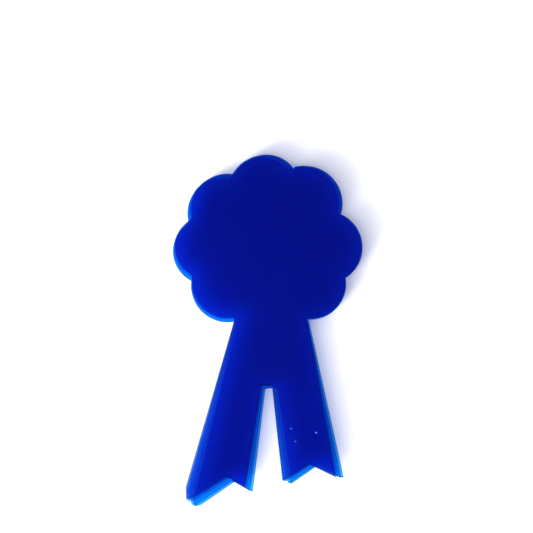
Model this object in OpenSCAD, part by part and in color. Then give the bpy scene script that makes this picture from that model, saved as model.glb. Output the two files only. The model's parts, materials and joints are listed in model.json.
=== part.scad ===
// Award ribbon blanks: a loose pile of thin plastic sheets, all punched by one
// die. Each sheet is an eight-lobed rosette with two notched tails, and the
// sheets lie fanned a little out of line, held together by nothing.
// Origin: the rosette's centre, on the underside of the lowest sheet.
// +Y runs up from the tails to the top of the rosette, +Z up through the pile.

/* [Pile] */
// Thickness of one sheet
sheet_t = 0.5; // [0.3:0.05:0.8]
// Air left between one sheet and the next
air_gap = 0.05; // [0.05:0.01:0.2]
// How far the sheets are fanned out of line, 0 for a squared-up pile
fan = 1; // [0:0.1:1.2]

/* [Rosette] */
// Distance from the rosette's centre to the middle of a lobe
lobe_ring_r = 24; // [23:0.25:25]
// Radius of a lobe
lobe_r = 15; // [14.5:0.25:16]
// Radius of the disc that the lobes stand round
heart_r = 26; // [22:1:28]

/* [Tails] */
// Half the width of the tails where they come out of the rosette
root_half_w = 13.5; // [12:0.5:15]
// How far below the centre the tails part
parting_y = 59.3; // [55:0.1:65]
// Width of the gap where the tails part
parting_w = 4.6; // [3:0.1:6]

/* [Left tail] */
// Outer corner, left of the centre line
left_outer_x = 33.3; // [31:0.1:36]
// Outer corner, below the centre
left_outer_y = 108.8; // [106:0.1:112]
// Top of the notch, left of the centre line
left_notch_x = 16; // [14:0.1:18]
// Top of the notch, below the centre
left_notch_y = 98.5; // [94:0.1:100]
// Inner corner, left of the centre line
left_inner_x = 8.5; // [7.5:0.1:10]
// Inner corner, below the centre
left_inner_y = 103; // [102:0.1:106]

/* [Right tail] */
// Outer corner, right of the centre line
right_outer_x = 30.2; // [28:0.1:32]
// Outer corner, below the centre
right_outer_y = 97.8; // [96:0.1:101]
// Top of the notch, right of the centre line
right_notch_x = 18.8; // [17:0.1:21]
// Top of the notch, below the centre
right_notch_y = 92.6; // [88:0.1:94]
// Inner corner, right of the centre line
right_inner_x = 7.8; // [6.5:0.1:9]
// Inner corner, below the centre
right_inner_y = 100; // [98:0.1:102]

/* [Hidden] */
NODES = [for (i = [1 : 10]) str("sheet_", i < 10 ? "0" : "", i)];

// The lobes anticlockwise from the right. The die was bent by hand, so they
// differ a little: [direction in degrees, extra distance out, extra radius]
LOBES = [
    [  0,  0.0,  0.50],
    [ 52, -0.5,  1.00],
    [ 95,  0.5, -0.50],
    [141,  0.0,  0.25],
    [182,  2.5, -1.25],
    [222, -0.5,  0.25],
    [270,  0.0,  0.50],
    [319, -0.5,  0.00]
];

// How each sheet lies in the loose fan, from the lowest up:
// [turn anticlockwise in degrees, shift to the right, shift up the ribbon]
LIES = [
    [-1.50,  0.70,  0.70],
    [-1.45,  0.65,  0.70],
    [-1.35,  0.60,  0.60],
    [-1.15,  0.45,  0.50],
    [-0.90,  0.30,  0.40],
    [-0.25, -0.10,  0.30],
    [ 0.45, -0.40, -0.35],
    [ 0.65, -0.35, -0.50],
    [ 0.95, -0.15, -0.50],
    [ 1.10, -0.10, -0.50]
];

// Corner radii: a sharp corner, and the blunt end of the left tail
sharp_r = 0.2;
parting_r = 1;
notch_r = 1.5;
blunt_r = 3;

// The left tail's outer corner is cut off by two short edges
left_outer = [-left_outer_x, -left_outer_y];
left_belly = left_outer + [-0.2, 4.8];
left_heel = left_outer + [2.7, 0.6];

// The tails' outline, anticlockwise from the left root: [corner, radius]
root_x = 1.5;
root_y = -22.5;
TAILS = [
    [[root_x - root_half_w, root_y], sharp_r],
    [left_belly, blunt_r],
    [left_outer, 2 * sharp_r],
    [left_heel, blunt_r],
    [[-left_notch_x, -left_notch_y], notch_r],
    [[-left_inner_x, -left_inner_y], sharp_r],
    [[-parting_w / 2, -parting_y], parting_r],
    [[parting_w / 2, -parting_y], parting_r],
    [[right_inner_x, -right_inner_y], sharp_r],
    [[right_notch_x, -right_notch_y], sharp_r],
    [[right_outer_x, -right_outer_y], sharp_r],
    [[root_x + root_half_w, root_y], sharp_r]
];

CORNER_STEPS = 6;
$fn = 96;

function unit(v) = v / norm(v);
function polar(a) = [cos(a), sin(a)];
function wrap(a) = (a + 540) % 360 - 180;

// The points of the arc that rounds corner c, between its two neighbours
function corner_arc(before, c, after, r) =
    let (
        back = unit(before - c),
        ahead = unit(after - c),
        half = acos(back * ahead) / 2,
        centre = c + unit(back + ahead) * r / sin(half),
        from = c + back * r / tan(half) - centre,
        to = c + ahead * r / tan(half) - centre,
        from_a = atan2(from.y, from.x),
        sweep = wrap(atan2(to.y, to.x) - from_a)
    )
    [for (k = [0 : CORNER_STEPS]) centre + r * polar(from_a + sweep * k / CORNER_STEPS)];

// A polygon whose corners are all rounded, from a list of [corner, radius]
function rounded_outline(corners) =
    let (n = len(corners))
    [
        for (i = [0 : n - 1])
            each corner_arc(
                corners[(i + n - 1) % n][0],
                corners[i][0],
                corners[(i + 1) % n][0],
                corners[i][1]
            )
    ];

module rosette() {
    circle(r = heart_r);
    for (lobe = LOBES)
        translate((lobe_ring_r + lobe[1]) * polar(lobe[0]))
            circle(r = lobe_r + lobe[2]);
}

module tails() {
    polygon(rounded_outline(TAILS));
}

module sheet(i) {
    lie = fan * LIES[i];
    color("mediumblue")
        translate([lie[1], lie[2], i * (sheet_t + air_gap)])
            rotate(lie[0])
                linear_extrude(sheet_t) {
                    rosette();
                    tails();
                }
}

for (i = [0 : len(NODES) - 1])
    sheet(i);
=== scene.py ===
"""A loose, slightly fanned pile of award ribbon blanks, all punched by one die from
thin see-through blue plastic. Everything is in metres, in the frame of the CAD model:
the rosette's centre at the origin, its top towards +Y, the pile rising towards +Z."""

import functools
import json
import math

import bpy
import numpy as np
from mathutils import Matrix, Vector
from mathutils.geometry import delaunay_2d_cdt

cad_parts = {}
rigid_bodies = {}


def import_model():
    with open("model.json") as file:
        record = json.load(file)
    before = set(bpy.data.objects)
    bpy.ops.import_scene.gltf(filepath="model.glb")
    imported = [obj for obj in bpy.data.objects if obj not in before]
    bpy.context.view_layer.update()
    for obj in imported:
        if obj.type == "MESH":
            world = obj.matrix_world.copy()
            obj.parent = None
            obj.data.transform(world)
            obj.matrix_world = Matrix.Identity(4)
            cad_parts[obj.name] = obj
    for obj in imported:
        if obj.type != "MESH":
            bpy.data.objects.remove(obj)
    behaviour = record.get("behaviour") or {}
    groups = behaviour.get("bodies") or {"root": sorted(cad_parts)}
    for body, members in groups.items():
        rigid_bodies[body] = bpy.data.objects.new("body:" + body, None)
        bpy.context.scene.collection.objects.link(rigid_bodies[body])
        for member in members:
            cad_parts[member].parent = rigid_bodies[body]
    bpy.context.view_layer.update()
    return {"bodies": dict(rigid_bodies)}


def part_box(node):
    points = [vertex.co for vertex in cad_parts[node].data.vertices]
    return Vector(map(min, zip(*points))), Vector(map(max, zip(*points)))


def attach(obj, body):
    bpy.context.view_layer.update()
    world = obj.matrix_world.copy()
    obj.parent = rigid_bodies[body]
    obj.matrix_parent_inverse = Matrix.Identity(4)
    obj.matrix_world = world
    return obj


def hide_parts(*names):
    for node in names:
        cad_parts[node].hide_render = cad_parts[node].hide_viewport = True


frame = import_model()


# ---------------------------------------------------------------------------
# The sheets. One steel-rule die punches all ten from see-through blue plastic:
# eight hand-bent lobes round a rosette, over two notched tails. They lie loose
# in a slightly fanned pile, and nothing fixes one to another.
# ---------------------------------------------------------------------------

MM = 0.001

# Each lobe, anticlockwise from the right: direction in degrees, then the
# distance out to its middle and its radius, in millimetres. The lobe that
# points straight down is hidden by the tails' root, so it isn't listed.
LOBES = [
    (0, 24.0, 15.5),
    (52, 23.5, 16.0),
    (95, 24.5, 14.5),
    (141, 24.0, 15.25),
    (182, 26.5, 13.75),
    (222, 23.5, 15.25),
    (319, 23.5, 15.0),
]

# The tails' corners, from the left root down and round to the right root:
# millimetres to the right and up, and the radius that rounds the corner
LEFT_ROOT = (-12.0, -22.5)
RIGHT_ROOT = (15.0, -22.5)
TAIL_CORNERS = [
    (-33.5, -104.0, 3.0),
    (-33.3, -108.8, 0.4),
    (-30.6, -108.2, 3.0),
    (-16.0, -98.5, 1.5),
    (-8.5, -103.0, 0.2),
    (-2.3, -59.3, 1.0),
    (2.3, -59.3, 1.0),
    (7.8, -100.0, 0.2),
    (18.8, -92.6, 0.2),
    (30.2, -97.8, 0.2),
]

# How closely points stand along the outline, round a corner and over the face,
# and how deep the rings of points lie that follow the outline
POINT_PITCH = 0.7 * MM
CORNER_PITCH = math.radians(12)
GRID_PITCH = 1.6 * MM
EDGE_RINGS = [depth * MM for depth in (0.015, 0.035, 0.07, 0.25, 0.6, 1.2)]


def arc(centre, radius, start, end):
    """Points along an arc, ends included, about one point pitch apart."""
    steps = max(2, math.ceil(abs(end - start) * radius / POINT_PITCH))
    turns = np.linspace(start, end, steps + 1)
    return np.column_stack([np.cos(turns), np.sin(turns)]) * radius + centre


def line(start, end):
    """Points along a straight stretch, without its ends."""
    steps = max(1, math.ceil(math.dist(start, end) / POINT_PITCH))
    share = np.arange(1, steps)[:, None] / steps
    return start + (end - start) * share


def circles_meet(a, b):
    """The outer of the two points where the circles (centre, radius) cross."""
    (centre_a, radius_a), (centre_b, radius_b) = a, b
    gap = centre_b - centre_a
    apart = math.hypot(*gap)
    along = (apart * apart + radius_a * radius_a - radius_b * radius_b) / (2 * apart)
    aside = math.sqrt(radius_a * radius_a - along * along)
    across = np.array([gap[1], -gap[0]]) / apart
    return centre_a + gap * along / apart + across * aside


def circle_meets_edge(circle, root, tip):
    """Where the edge from root to tip leaves the circle (centre, radius)."""
    centre, radius = circle
    way = (tip - root) / math.dist(tip, root)
    near = (centre - root) @ way
    aside = math.dist(root + way * near, centre)
    return root + way * (near + math.sqrt(radius * radius - aside * aside))


def rounded_corner(before, corner, after, radius):
    """The arc that rounds a corner of the tails."""
    back = (before - corner) / math.dist(before, corner)
    ahead = (after - corner) / math.dist(after, corner)
    half = math.acos(back @ ahead) / 2
    middle = (back + ahead) / math.hypot(*(back + ahead))
    centre = corner + middle * radius / math.sin(half)
    out = corner + back * radius / math.tan(half) - centre
    into = corner + ahead * radius / math.tan(half) - centre
    start = math.atan2(out[1], out[0])
    sweep = math.atan2(into[1], into[0]) - start
    sweep = (sweep + math.pi) % math.tau - math.pi
    steps = max(3, math.ceil(abs(sweep) / CORNER_PITCH))
    turns = start + sweep * np.arange(steps + 1) / steps
    return np.column_stack([np.cos(turns), np.sin(turns)]) * radius + centre


def blank_outline():
    """The whole outline, anticlockwise from where the last lobe meets the first."""
    lobes = []
    for direction, out, radius in LOBES:
        turn = math.radians(direction)
        middle = np.array([math.cos(turn), math.sin(turn)]) * out * MM
        lobes.append((middle, radius * MM))
    corners = [np.array(corner[:2]) * MM for corner in TAIL_CORNERS]
    left_root, right_root = np.array(LEFT_ROOT) * MM, np.array(RIGHT_ROOT) * MM

    # Each lobe runs from one neighbour to the next, or from or to a tail's edge
    onto_left_tail = circle_meets_edge(lobes[-2], left_root, corners[0])
    off_right_tail = circle_meets_edge(lobes[-1], right_root, corners[-1])
    last_to_first = circles_meet(lobes[-1], lobes[0])
    between = [circles_meet(a, b) for a, b in zip(lobes[:-2], lobes[1:-1])]
    starts = [last_to_first] + between + [off_right_tail]
    ends = between + [onto_left_tail, last_to_first]
    arcs = []
    for (middle, radius), start, end in zip(lobes, starts, ends):
        first, last = start - middle, end - middle
        turn = math.atan2(first[1], first[0])
        sweep = (math.atan2(last[1], last[0]) - turn) % math.tau
        arcs.append(arc(middle, radius, turn, turn + sweep)[:-1])

    # The tails come between the last two lobes
    route = [left_root] + corners + [right_root]
    tails = []
    reached = onto_left_tail
    for i, (_, _, radius) in enumerate(TAIL_CORNERS):
        bend = rounded_corner(route[i], route[i + 1], route[i + 2], radius * MM)
        tails += [line(reached, bend[0]), bend]
        reached = bend[-1]
    tails.append(line(reached, off_right_tail))
    return np.vstack(arcs[:-1] + tails + arcs[-1:])


def distance_to_outline(points, outline):
    """How far each point is from the outline."""
    nearest = np.full(len(points), np.inf)
    for a, b in zip(outline, np.roll(outline, -1, axis=0)):
        side = b - a
        share = np.clip((points - a) @ side / (side @ side), 0, 1)
        gap = points - a - share[:, None] * side
        nearest = np.minimum(nearest, np.hypot(gap[:, 0], gap[:, 1]))
    return nearest


def inside_outline(points, outline):
    """Whether each point lies inside the outline."""
    crossings = np.zeros(len(points), int)
    for a, b in zip(outline, np.roll(outline, -1, axis=0)):
        spans = (a[1] > points[:, 1]) != (b[1] > points[:, 1])
        if spans.any():
            where = (b[0] - a[0]) * (points[:, 1] - a[1]) / (b[1] - a[1]) + a[0]
            crossings += spans & (points[:, 0] < where)
    return crossings % 2 == 1


# How the triangulation fills the outline, and how near two of its points may
# come, in millimetres, before they are taken for one
INSIDE_ONLY = 1
SAME_POINT = 1e-6


def blank_mesh():
    """The flat blank: fine rings along its edge and an even net of triangles inside."""
    outline = blank_outline()
    ahead = np.roll(outline, -1, axis=0) - np.roll(outline, 1, axis=0)
    inward = np.column_stack([-ahead[:, 1], ahead[:, 0]])
    inward /= np.hypot(inward[:, 0], inward[:, 1])[:, None]

    # A ring leaves out the points that a corner brings too near to the outline
    points = [outline]
    for depth in EDGE_RINGS:
        ring = outline + inward * depth
        clear = distance_to_outline(ring, outline) > depth * 0.98
        points.append(ring[clear & inside_outline(ring, outline)])

    # The net's rows are offset by half a step, so its triangles are even
    low, high = outline.min(0), outline.max(0)
    net = []
    for i, up in enumerate(np.arange(low[1], high[1], GRID_PITCH * math.sqrt(3) / 2)):
        row = np.arange(low[0] + (i % 2) * GRID_PITCH / 2, high[0], GRID_PITCH)
        net.append(np.column_stack([row, np.full(len(row), up)]))
    net = np.vstack(net)
    net = net[inside_outline(net, outline)]
    clear = distance_to_outline(net, outline) > EDGE_RINGS[-1] + GRID_PITCH / 2
    points = np.vstack(points + [net[clear]])

    # Triangles fill the outline and nothing outside it. They are worked out in
    # millimetres, because points in metres lie too close together for that
    count = len(outline)
    edges = [(i, (i + 1) % count) for i in range(count)]
    verts, _, faces, *_ = delaunay_2d_cdt(
        [Vector(point / MM) for point in points], edges, [], INSIDE_ONLY, SAME_POINT
    )
    mesh = bpy.data.meshes.new("blank")
    mesh.from_pydata([(v.x * MM, v.y * MM, 0) for v in verts], [], faces)
    mesh.validate()
    return mesh


def feed(tree, socket, value):
    """Sets a socket to a plain value, or links another node's output to it."""
    if isinstance(value, bpy.types.NodeSocket):
        tree.links.new(value, socket)
    else:
        socket.default_value = value


def math_node(tree, operation, *values, clamp=False):
    """The result of a sum on plain numbers and other nodes' outputs."""
    made = tree.nodes.new("ShaderNodeMath")
    made.operation = operation
    made.use_clamp = clamp
    for socket, value in zip(made.inputs, values):
        feed(tree, socket, value)
    return made.outputs[0]


# The painted margin highlight only goes on edges below this height, on the left tail
HIGHLIGHT_BELOW = -30 * MM


def punching_tree(material):
    """The node tree that turns the flat blank into one sheet where it lies."""
    tree = bpy.data.node_groups.new("punched_sheet", "GeometryNodeTree")
    for kind, names in (
        ("Geometry", ["Blank"]),
        ("Float", ["Thickness", "Edge roll", "Turn", "Painted margin highlight", "Dust"]),
        ("Vector", ["Place"]),
    ):
        for name in names:
            tree.interface.new_socket(name, in_out="INPUT", socket_type="NodeSocket" + kind)
    tree.interface.new_socket("Sheet", in_out="OUTPUT", socket_type="NodeSocketGeometry")
    link = tree.links.new
    maths = functools.partial(math_node, tree)

    def node(kind, **settings):
        """A new node of this kind, set as given."""
        made = tree.nodes.new(kind)
        for name, value in settings.items():
            setattr(made, name, value)
        return made

    def position():
        """The place of each point, as a vector and as its x, y and z."""
        place = node("GeometryNodeInputPosition").outputs[0]
        parts = node("ShaderNodeSeparateXYZ")
        link(place, parts.inputs[0])
        return place, parts.outputs

    def noted(name, geometry, value):
        """The geometry with a value noted at each point for the plastic to read."""
        made = node("GeometryNodeStoreNamedAttribute", data_type="FLOAT", domain="POINT")
        made.inputs["Name"].default_value = name
        link(geometry, made.inputs["Geometry"])
        link(value, made.inputs["Value"])
        return made.outputs[0]

    given = node("NodeGroupInput").outputs

    # How far each point lies from the cut edge
    neighbours = node("GeometryNodeInputMeshEdgeNeighbors")
    rim = node("FunctionNodeCompare", data_type="INT", operation="EQUAL")
    link(neighbours.outputs["Face Count"], rim.inputs["A"])
    rim.inputs["B"].default_value = 1
    outline = node("GeometryNodeSeparateGeometry", domain="EDGE")
    link(given["Blank"], outline.inputs["Geometry"])
    link(rim.outputs["Result"], outline.inputs["Selection"])
    nearest = node("GeometryNodeProximity", target_element="EDGES")
    link(outline.outputs["Selection"], nearest.inputs[0])
    flat = noted("from_edge", given["Blank"], nearest.outputs["Distance"])

    # A pale highlight is painted on the margin where it faces left, towards the main lamp, along
    # the left tail
    place, (across, up, _) = position()
    outward = node("ShaderNodeVectorMath", operation="SUBTRACT")
    link(nearest.outputs["Position"], outward.inputs[0])
    link(place, outward.inputs[1])
    unit = node("ShaderNodeVectorMath", operation="NORMALIZE")
    link(outward.outputs[0], unit.inputs[0])
    heading = node("ShaderNodeSeparateXYZ")
    link(unit.outputs[0], heading.inputs[0])
    leftward = maths("MAXIMUM", maths("MULTIPLY", heading.outputs["X"], -1.0), 0.0)
    below = maths("LESS_THAN", up, HIGHLIGHT_BELOW)
    on_tail = maths("MULTIPLY", below, maths("LESS_THAN", across, 0.0))
    painted_highlight = maths("MULTIPLY", maths("MULTIPLY", leftward, on_tail), given["Painted margin highlight"])
    flat = noted("painted_margin_highlight", flat, painted_highlight)
    flat = noted("dust", flat, given["Dust"])

    # The blank is raised by its thickness and closed underneath
    raised = node("GeometryNodeExtrudeMesh", mode="FACES")
    raised.inputs["Individual"].default_value = False
    raised.inputs["Offset"].default_value = (0, 0, 1)
    link(flat, raised.inputs["Mesh"])
    link(given["Thickness"], raised.inputs["Offset Scale"])
    underside = node("GeometryNodeFlipFaces")
    link(flat, underside.inputs["Mesh"])
    closed = node("GeometryNodeJoinGeometry")
    link(raised.outputs["Mesh"], closed.inputs[0])
    link(underside.outputs["Mesh"], closed.inputs[0])
    welded = node("GeometryNodeMergeByDistance")
    welded.inputs["Distance"].default_value = 0.001 * MM
    link(closed.outputs[0], welded.inputs["Geometry"])

    # Both faces roll off into the cut wall along a quarter circle
    _, (_, _, height) = position()
    from_edge = node("GeometryNodeInputNamedAttribute", data_type="FLOAT")
    from_edge.inputs["Name"].default_value = "from_edge"
    roll = given["Edge roll"]
    short = maths("MAXIMUM", maths("SUBTRACT", roll, from_edge.outputs["Attribute"]), 0.0)
    left = maths("SUBTRACT", maths("MULTIPLY", roll, roll), maths("MULTIPLY", short, short))
    drop = maths("SUBTRACT", roll, maths("SQRT", left))
    middle = maths("MULTIPLY", given["Thickness"], 0.5)
    side = maths("SIGN", maths("SUBTRACT", middle, height))
    shift = node("ShaderNodeCombineXYZ")
    link(maths("MULTIPLY", drop, side), shift.inputs["Z"])
    rolled = node("GeometryNodeSetPosition")
    link(welded.outputs[0], rolled.inputs["Geometry"])
    link(shift.outputs[0], rolled.inputs["Offset"])

    # It is laid in its place in the pile
    spin = node("ShaderNodeCombineXYZ")
    link(given["Turn"], spin.inputs["Z"])
    laid = node("GeometryNodeTransform")
    link(rolled.outputs[0], laid.inputs["Geometry"])
    link(given["Place"], laid.inputs["Translation"])
    link(spin.outputs[0], laid.inputs["Rotation"])
    smooth = node("GeometryNodeSetShadeSmooth")
    link(laid.outputs[0], smooth.inputs[0])
    real = node("GeometryNodeRealizeInstances")
    link(smooth.outputs[0], real.inputs[0])
    finished = node("GeometryNodeSetMaterial")
    link(real.outputs[0], finished.inputs["Geometry"])
    finished.inputs["Material"].default_value = material
    link(finished.outputs[0], node("NodeGroupOutput").inputs["Sheet"])
    return tree


# What one face of a sheet lets through, red, green and blue, and what it lets
# through to light on its way from a lamp
FACE_TINT = (0.41, 0.808, 0.968)
FACE_SHADE = (0.895, 0.90, 0.936)
# The blue of what little the plastic throws back, deep inside and on the frosted cut;
# the painted glow along its edge; the painted highlight on a left-facing margin; and the blue of
# dust and scuffs
DEEP_BLUE = (0.0, 0.008, 0.30)
PAINTED_GLOW_BLUE = (0.0, 0.10, 0.95)
FROST_BLUE = (0.0, 0.03, 0.22)
PAINTED_HIGHLIGHT_BLUE = (0.12, 0.15, 0.40)
DUST_BLUE = (0.36, 0.46, 0.95)
# How far in from the edge the painted glow reaches, and how far in the painted
# margin highlight reaches at most
GLOW_REACH = 9 * MM
HIGHLIGHT_REACH = 2 * MM
# How far in the die's frosting reaches along the tails and round the lobes, and
# between which heights it goes over from the one to the other
FROST_ON_TAILS = 0.36 * MM
FROST_ON_LOBES = 0.16 * MM
FROST_CHANGES = (-45 * MM, -30 * MM)
# Where dust has settled on the top sheet, millimetres to the right and up, and
# how wide each speck is
DUST = [(20.2, -78.5, 0.7), (11.4, -82.2, 0.5), (9.6, -76.8, 0.5)]


def dyed_plastic():
    """Blue plastic, clear but a little cloudy, frosted where the die cut it, with a painted glow
    along its edge and a painted highlight on some left-facing margins.
    """
    mat = bpy.data.materials.new("dyed_plastic")
    mat.use_nodes = True
    tree = mat.node_tree
    nodes, link = tree.nodes, tree.links.new
    nodes.clear()
    maths = functools.partial(math_node, tree)

    def ranged(value, low, high, start, end):
        """Runs smoothly from start to end as the value goes from low to high."""
        made = nodes.new("ShaderNodeMapRange")
        made.interpolation_type = "SMOOTHSTEP"
        names = ("Value", "From Min", "From Max", "To Min", "To Max")
        for name, setting in zip(names, (value, low, high, start, end)):
            feed(tree, made.inputs[name], setting)
        return made.outputs[0]

    def noted(name):
        """A value that the punching noted at each point."""
        made = nodes.new("ShaderNodeAttribute")
        made.attribute_name = name
        return made.outputs["Fac"]

    place = nodes.new("ShaderNodeTexCoord").outputs["Object"]

    def mottle(size, detail, stretch=(1, 1, 1), turn=0):
        """Noise from 0 to 1 in patches this many millimetres wide, drawn out and turned."""
        mapping = nodes.new("ShaderNodeMapping")
        mapping.vector_type = "TEXTURE"
        mapping.inputs["Scale"].default_value = stretch
        mapping.inputs["Rotation"].default_value = (0, 0, math.radians(turn))
        link(place, mapping.inputs["Vector"])
        made = nodes.new("ShaderNodeTexNoise")
        made.inputs["Scale"].default_value = 1 / (size * MM)
        made.inputs["Detail"].default_value = detail
        link(mapping.outputs[0], made.inputs["Vector"])
        return made.outputs["Fac"]

    def mixed(share, first, second):
        """From the first colour to the second as the share goes from 0 to 1."""
        made = nodes.new("ShaderNodeMix")
        made.data_type = "RGBA"
        link(share, made.inputs["Factor"])
        for name, colour in (("A", first), ("B", second)):
            feed(tree, made.inputs[name], colour + (1,) if isinstance(colour, tuple) else colour)
        return made.outputs["Result"]

    edge = noted("from_edge")
    grain = mottle(0.6, 4)
    clouds = mottle(14, 3)

    # The die leaves the cut wall and the roll beside it frosted, its straight rules
    # along the tails more so than the bent ones round the lobes
    parts = nodes.new("ShaderNodeSeparateXYZ")
    link(place, parts.inputs[0])
    reach = ranged(parts.outputs["Y"], *FROST_CHANGES, FROST_ON_TAILS, FROST_ON_LOBES)
    frost = ranged(edge, 0.0, reach, 0.45, 0.0)

    # A ragged, pale highlight is painted on the left-facing margin of some sheets
    highlight_to = maths("MULTIPLY", noted("painted_margin_highlight"), maths("MULTIPLY", grain, HIGHLIGHT_REACH))
    margin = ranged(maths("SUBTRACT", highlight_to, edge), 0.0, 0.2 * MM, 0.0, 0.75)

    # Hairline scuffs run across both faces
    scuffs = 0.0
    for turn in (24, -38, 71):
        hairlines = ranged(mottle(0.5, 1, (24, 1, 6), turn), 0.76, 0.84, 0.0, 1.0)
        scuffs = maths("MAXIMUM", scuffs, hairlines)

    # Specks of dust have settled on the topmost sheet
    on_face = nodes.new("ShaderNodeVectorMath")
    on_face.operation = "MULTIPLY"
    on_face.inputs[1].default_value = (1, 1, 0)
    link(place, on_face.inputs[0])
    specks = 0.0
    for right, up, width in DUST:
        away = nodes.new("ShaderNodeVectorMath")
        away.operation = "DISTANCE"
        away.inputs[1].default_value = (right * MM, up * MM, 0)
        link(on_face.outputs[0], away.inputs[0])
        ragged = maths("MULTIPLY", maths("ADD", grain, 0.5), away.outputs["Value"])
        speck = ranged(ragged, 0.2 * width * MM, 0.5 * width * MM, 1.0, 0.0)
        specks = maths("MAXIMUM", specks, speck)
    specks = maths("MULTIPLY", specks, noted("dust"))

    # Painted glow: the light that the sheet gathers and lets out near its edge is
    # painted into its colour, so the blue opens up there
    colour = mixed(ranged(edge, 0.0, GLOW_REACH, 1.0, 0.0), DEEP_BLUE, PAINTED_GLOW_BLUE)
    colour = mixed(ranged(frost, 0.0, 0.2, 0.0, 1.0), colour, FROST_BLUE)
    # The painted highlight on the left-facing margin
    colour = mixed(ranged(margin, 0.0, 0.5, 0.0, 1.0), colour, PAINTED_HIGHLIGHT_BLUE)
    pale = maths("MAXIMUM", specks, maths("MULTIPLY", scuffs, 0.15))
    colour = mixed(pale, colour, DUST_BLUE)

    # The satin finish is a little uneven, and rougher at the cut
    satin = maths("ADD", maths("MULTIPLY", clouds, 0.16), maths("MULTIPLY", grain, 0.10))
    cut = ranged(edge, 0.06 * MM, 0.2 * MM, 0.75, 0.2)
    roughness = maths("MAXIMUM", maths("ADD", satin, 0.12), cut)
    roughness = maths("ADD", roughness, maths("MULTIPLY", scuffs, 0.08), clamp=True)
    skin = nodes.new("ShaderNodeBump")
    skin.inputs["Strength"].default_value = 0.25
    skin.inputs["Distance"].default_value = 0.02 * MM
    link(maths("ADD", clouds, maths("MULTIPLY", grain, 0.5)), skin.inputs["Height"])

    # Most light passes, tinted, and a share is thrown back by whatever is cloudy
    clear = nodes.new("ShaderNodeBsdfTransparent")
    clear.inputs["Color"].default_value = FACE_TINT + (1,)
    cloudy = nodes.new("ShaderNodeBsdfPrincipled")
    cloudy.inputs["Specular IOR Level"].default_value = 0.05
    link(colour, cloudy.inputs["Base Color"])
    link(roughness, cloudy.inputs["Roughness"])
    link(skin.outputs[0], cloudy.inputs["Normal"])
    share = maths("MAXIMUM", maths("MAXIMUM", frost, margin), maths("MULTIPLY", scuffs, 0.012))
    share = maths("ADD", maths("MAXIMUM", share, specks), 0.006, clamp=True)
    body = nodes.new("ShaderNodeMixShader")
    link(share, body.inputs["Fac"])
    link(clear.outputs[0], body.inputs[1])
    link(cloudy.outputs[0], body.inputs[2])

    # A satin gloss lies over it, duller where the face rolls off into the cut
    gloss = nodes.new("ShaderNodeBsdfGlossy")
    link(roughness, gloss.inputs["Roughness"])
    link(skin.outputs[0], gloss.inputs["Normal"])
    fresnel = nodes.new("ShaderNodeFresnel")
    fresnel.inputs["IOR"].default_value = 1.15
    outside = maths("SUBTRACT", 1.0, nodes.new("ShaderNodeNewGeometry").outputs["Backfacing"])
    sheen = maths("MULTIPLY", outside, ranged(edge, 0.03 * MM, 0.15 * MM, 0.08, 1.0))
    glossed = nodes.new("ShaderNodeMixShader")
    link(maths("MULTIPLY", fresnel.outputs[0], sheen), glossed.inputs["Fac"])
    link(body.outputs[0], glossed.inputs[1])
    link(gloss.outputs[0], glossed.inputs[2])

    # Lamp light goes straight through, so the pile is lit from beneath as well
    lit = nodes.new("ShaderNodeBsdfTransparent")
    lit.inputs["Color"].default_value = FACE_SHADE + (1,)
    whole = nodes.new("ShaderNodeMixShader")
    link(nodes.new("ShaderNodeLightPath").outputs["Is Shadow Ray"], whole.inputs["Fac"])
    link(glossed.outputs[0], whole.inputs[1])
    link(lit.outputs[0], whole.inputs[2])
    link(whole.outputs[0], nodes.new("ShaderNodeOutputMaterial").inputs["Surface"])
    return mat


# How each sheet lies in the loose fan, from the lowest up: turn anticlockwise in
# degrees, millimetres to the right and up the ribbon, then how strong the painted
# highlight on its left-facing margin is (strongest on the lowest sheets)
LIES = [
    (-1.50, 0.70, 0.70, 1.0),
    (-1.45, 0.65, 0.70, 1.0),
    (-1.35, 0.60, 0.60, 0.8),
    (-1.15, 0.45, 0.50, 0.3),
    (-0.90, 0.30, 0.40, 0.2),
    (-0.25, -0.10, 0.30, 0.1),
    (0.45, -0.40, -0.35, 0.0),
    (0.65, -0.35, -0.50, 0.0),
    (0.95, -0.15, -0.50, 0.0),
    (1.10, -0.10, -0.50, 0.0),
]
# How far in from the cut the faces roll off
EDGE_ROLL = 0.06 * MM
TOP_SHEET = "sheet_10"

plastic = dyed_plastic()
punching = punching_tree(plastic)
blank = blank_mesh()
blank.materials.append(plastic)
setting = {
    item.name: item.identifier
    for item in punching.interface.items_tree
    if item.item_type == "SOCKET" and item.in_out == "INPUT"
}

for body, (turn, right, up, highlight_strength) in zip(sorted(frame["bodies"]), LIES):
    low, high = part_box(body)
    sheet = bpy.data.objects.new("ribbon_" + body, blank)
    modifier = sheet.modifiers.new("punching", "NODES")
    modifier.node_group = punching
    modifier[setting["Thickness"]] = high[2] - low[2]
    modifier[setting["Edge roll"]] = EDGE_ROLL
    modifier[setting["Turn"]] = math.radians(turn)
    modifier[setting["Place"]] = (right * MM, up * MM, low[2])
    # How strongly a pale highlight is painted on this sheet's left-facing margin
    modifier[setting["Painted margin highlight"]] = highlight_strength
    modifier[setting["Dust"]] = float(body == TOP_SHEET)
    bpy.context.scene.collection.objects.link(sheet)
    ready = sheet.evaluated_get(bpy.context.evaluated_depsgraph_get())
    mesh = bpy.data.meshes.new_from_object(ready)
    sheet.modifiers.remove(modifier)
    sheet.data = mesh
    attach(sheet, body)
    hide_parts(body)


# ---------------------------------------------------------------------------
# The burr. Where two lobes meet beside the top of the rosette, the die tore a
# thread of plastic off the topmost sheet; it curls up out of the notch, pale
# where the tearing has stretched it.
# ---------------------------------------------------------------------------

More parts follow.
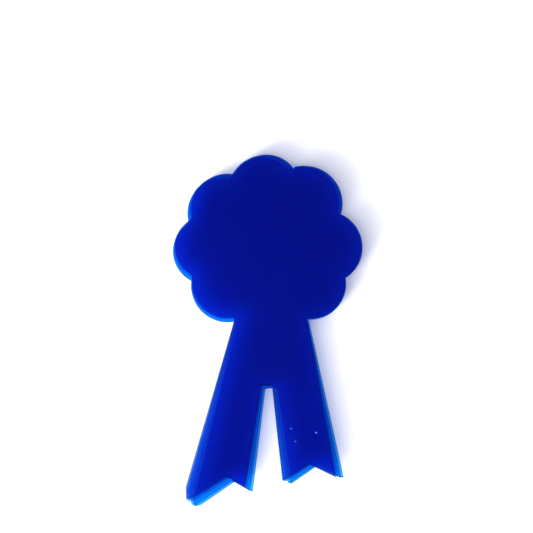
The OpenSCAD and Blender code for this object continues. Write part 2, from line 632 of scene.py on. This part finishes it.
# Along the thread: millimetres to the right and up, and its width there
THREAD = [
    (10.75, 33.40, 0.20),
    (10.60, 33.90, 0.48),
    (10.55, 34.40, 0.60),
    (10.80, 34.80, 0.62),
    (11.30, 35.00, 0.58),
    (11.80, 34.90, 0.42),
    (12.20, 34.70, 0.12),
]
# Half the thread's thickness, the width below which it thins, and how far its
# middle lies under the top face
THREAD_HALF = 0.15 * MM
THINS_BELOW = 0.4
THREAD_DEPTH = 0.2 * MM
SIDES = 8


def thread_mesh(top):
    """The torn thread as a closed tube, a little flattened, just under top."""
    rings = []
    for i, (right, up, width) in enumerate(THREAD):
        before, after = THREAD[max(i - 1, 0)], THREAD[min(i + 1, len(THREAD) - 1)]
        along = Vector((after[0] - before[0], after[1] - before[1], 0)).normalized()
        across = Vector((-along.y, along.x, 0))
        middle = Vector((right, up, 0)) * MM + Vector((0, 0, top - THREAD_DEPTH))
        half = THREAD_HALF * min(1, width / THINS_BELOW)
        rings.append([
            middle
            + across * math.cos(turn) * width / 2 * MM
            + Vector((0, 0, math.sin(turn) * half))
            for turn in [math.tau * k / SIDES for k in range(SIDES)]
        ])
    last = (len(rings) - 1) * SIDES
    faces = [list(reversed(range(SIDES))), [last + k for k in range(SIDES)]]
    for start in range(0, last, SIDES):
        for k in range(SIDES):
            a, b = start + k, start + (k + 1) % SIDES
            faces.append([a, b, b + SIDES, a + SIDES])
    mesh = bpy.data.meshes.new("thread")
    mesh.from_pydata([point for ring in rings for point in ring], [], faces)
    return mesh


def stretched_plastic():
    """The same plastic, gone pale and cloudy where it was stretched."""
    mat = bpy.data.materials.new("stretched_plastic")
    mat.use_nodes = True
    nodes, link = mat.node_tree.nodes, mat.node_tree.links.new
    body = nodes["Principled BSDF"]
    crazing = nodes.new("ShaderNodeTexNoise")
    crazing.inputs["Scale"].default_value = 1 / (0.5 * MM)
    crazing.inputs["Detail"].default_value = 5
    link(nodes.new("ShaderNodeTexCoord").outputs["Object"], crazing.inputs["Vector"])
    shades = nodes.new("ShaderNodeValToRGB")
    shades.color_ramp.elements[0].position = 0.35
    shades.color_ramp.elements[0].color = (0.02, 0.12, 0.32, 1)
    shades.color_ramp.elements[1].position = 0.65
    shades.color_ramp.elements[1].color = (0.22, 0.50, 0.68, 1)
    link(crazing.outputs["Fac"], shades.inputs["Fac"])
    link(shades.outputs["Color"], body.inputs["Base Color"])
    ridges = nodes.new("ShaderNodeBump")
    ridges.inputs["Strength"].default_value = 0.4
    ridges.inputs["Distance"].default_value = 0.05 * MM
    link(crazing.outputs["Fac"], ridges.inputs["Height"])
    link(ridges.outputs[0], body.inputs["Normal"])
    body.inputs["Roughness"].default_value = 0.45
    return mat


burr = bpy.data.objects.new("burr", thread_mesh(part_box(TOP_SHEET)[1][2]))
burr.data.materials.append(stretched_plastic())
bpy.context.scene.collection.objects.link(burr)
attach(burr, TOP_SHEET)


# ---------------------------------------------------------------------------
# The floor, the lights and the camera. A plain pale floor lies just under the
# lowest sheet. The main light is low and from the lower left, so it gets in
# under the see-through sheets, and the camera looks straight down.
# ---------------------------------------------------------------------------

FLOOR_HALF = 3.0
FLOOR_TOP = -0.1 * MM

corners = [(-1, -1), (1, -1), (1, 1), (-1, 1)]
floor_mesh = bpy.data.meshes.new("floor")
floor_mesh.from_pydata(
    [(x * FLOOR_HALF, y * FLOOR_HALF, FLOOR_TOP) for x, y in corners], [], [(0, 1, 2, 3)]
)
pale = bpy.data.materials.new("pale_floor")
pale.use_nodes = True
pale_shader = pale.node_tree.nodes["Principled BSDF"]
pale_shader.inputs["Base Color"].default_value = (0.9, 0.9, 0.9, 1)
pale_shader.inputs["Roughness"].default_value = 0.9
floor_mesh.materials.append(pale)
floor = bpy.data.objects.new("floor", floor_mesh)
bpy.context.scene.collection.objects.link(floor)


def softbox(name, place, size, watts):
    """A square white lamp that faces the origin."""
    lamp = bpy.data.objects.new(name, bpy.data.lights.new(name, "AREA"))
    lamp.data.shape = "SQUARE"
    lamp.data.size = size
    lamp.data.energy = watts
    lamp.location = place
    lamp.rotation_euler = (-Vector(place)).to_track_quat("-Z", "Y").to_euler()
    bpy.context.scene.collection.objects.link(lamp)


softbox("key_light", (-0.74, -0.62, 0.24), 0.42, 37)
softbox("fill_light", (-0.6, -0.25, 0.65), 0.6, 2.5)
world = bpy.data.worlds.new("studio")
world.use_nodes = True
world.node_tree.nodes["Background"].inputs["Color"].default_value = (1, 1, 1, 1)
world.node_tree.nodes["Background"].inputs["Strength"].default_value = 0.55

# The camera is centred on the view that it takes in, which is this wide where
# the pile lies
CAMERA_PLACE = (-0.00085, -0.0081, 0.6)
PILE_MIDDLE = 3 * MM
FIELD_WIDTH = 0.2268
SENSOR_WIDTH = 36

camera = bpy.data.objects.new("camera", bpy.data.cameras.new("camera"))
camera.data.sensor_width = SENSOR_WIDTH
camera.data.lens = SENSOR_WIDTH * (CAMERA_PLACE[2] - PILE_MIDDLE) / FIELD_WIDTH
camera.location = CAMERA_PLACE

scene = bpy.context.scene
scene.collection.objects.link(camera)
scene.camera = camera
scene.world = world
scene.view_settings.view_transform = "Standard"
# Enough for a glance along the whole opened pile
scene.cycles.transparent_max_bounces = 64
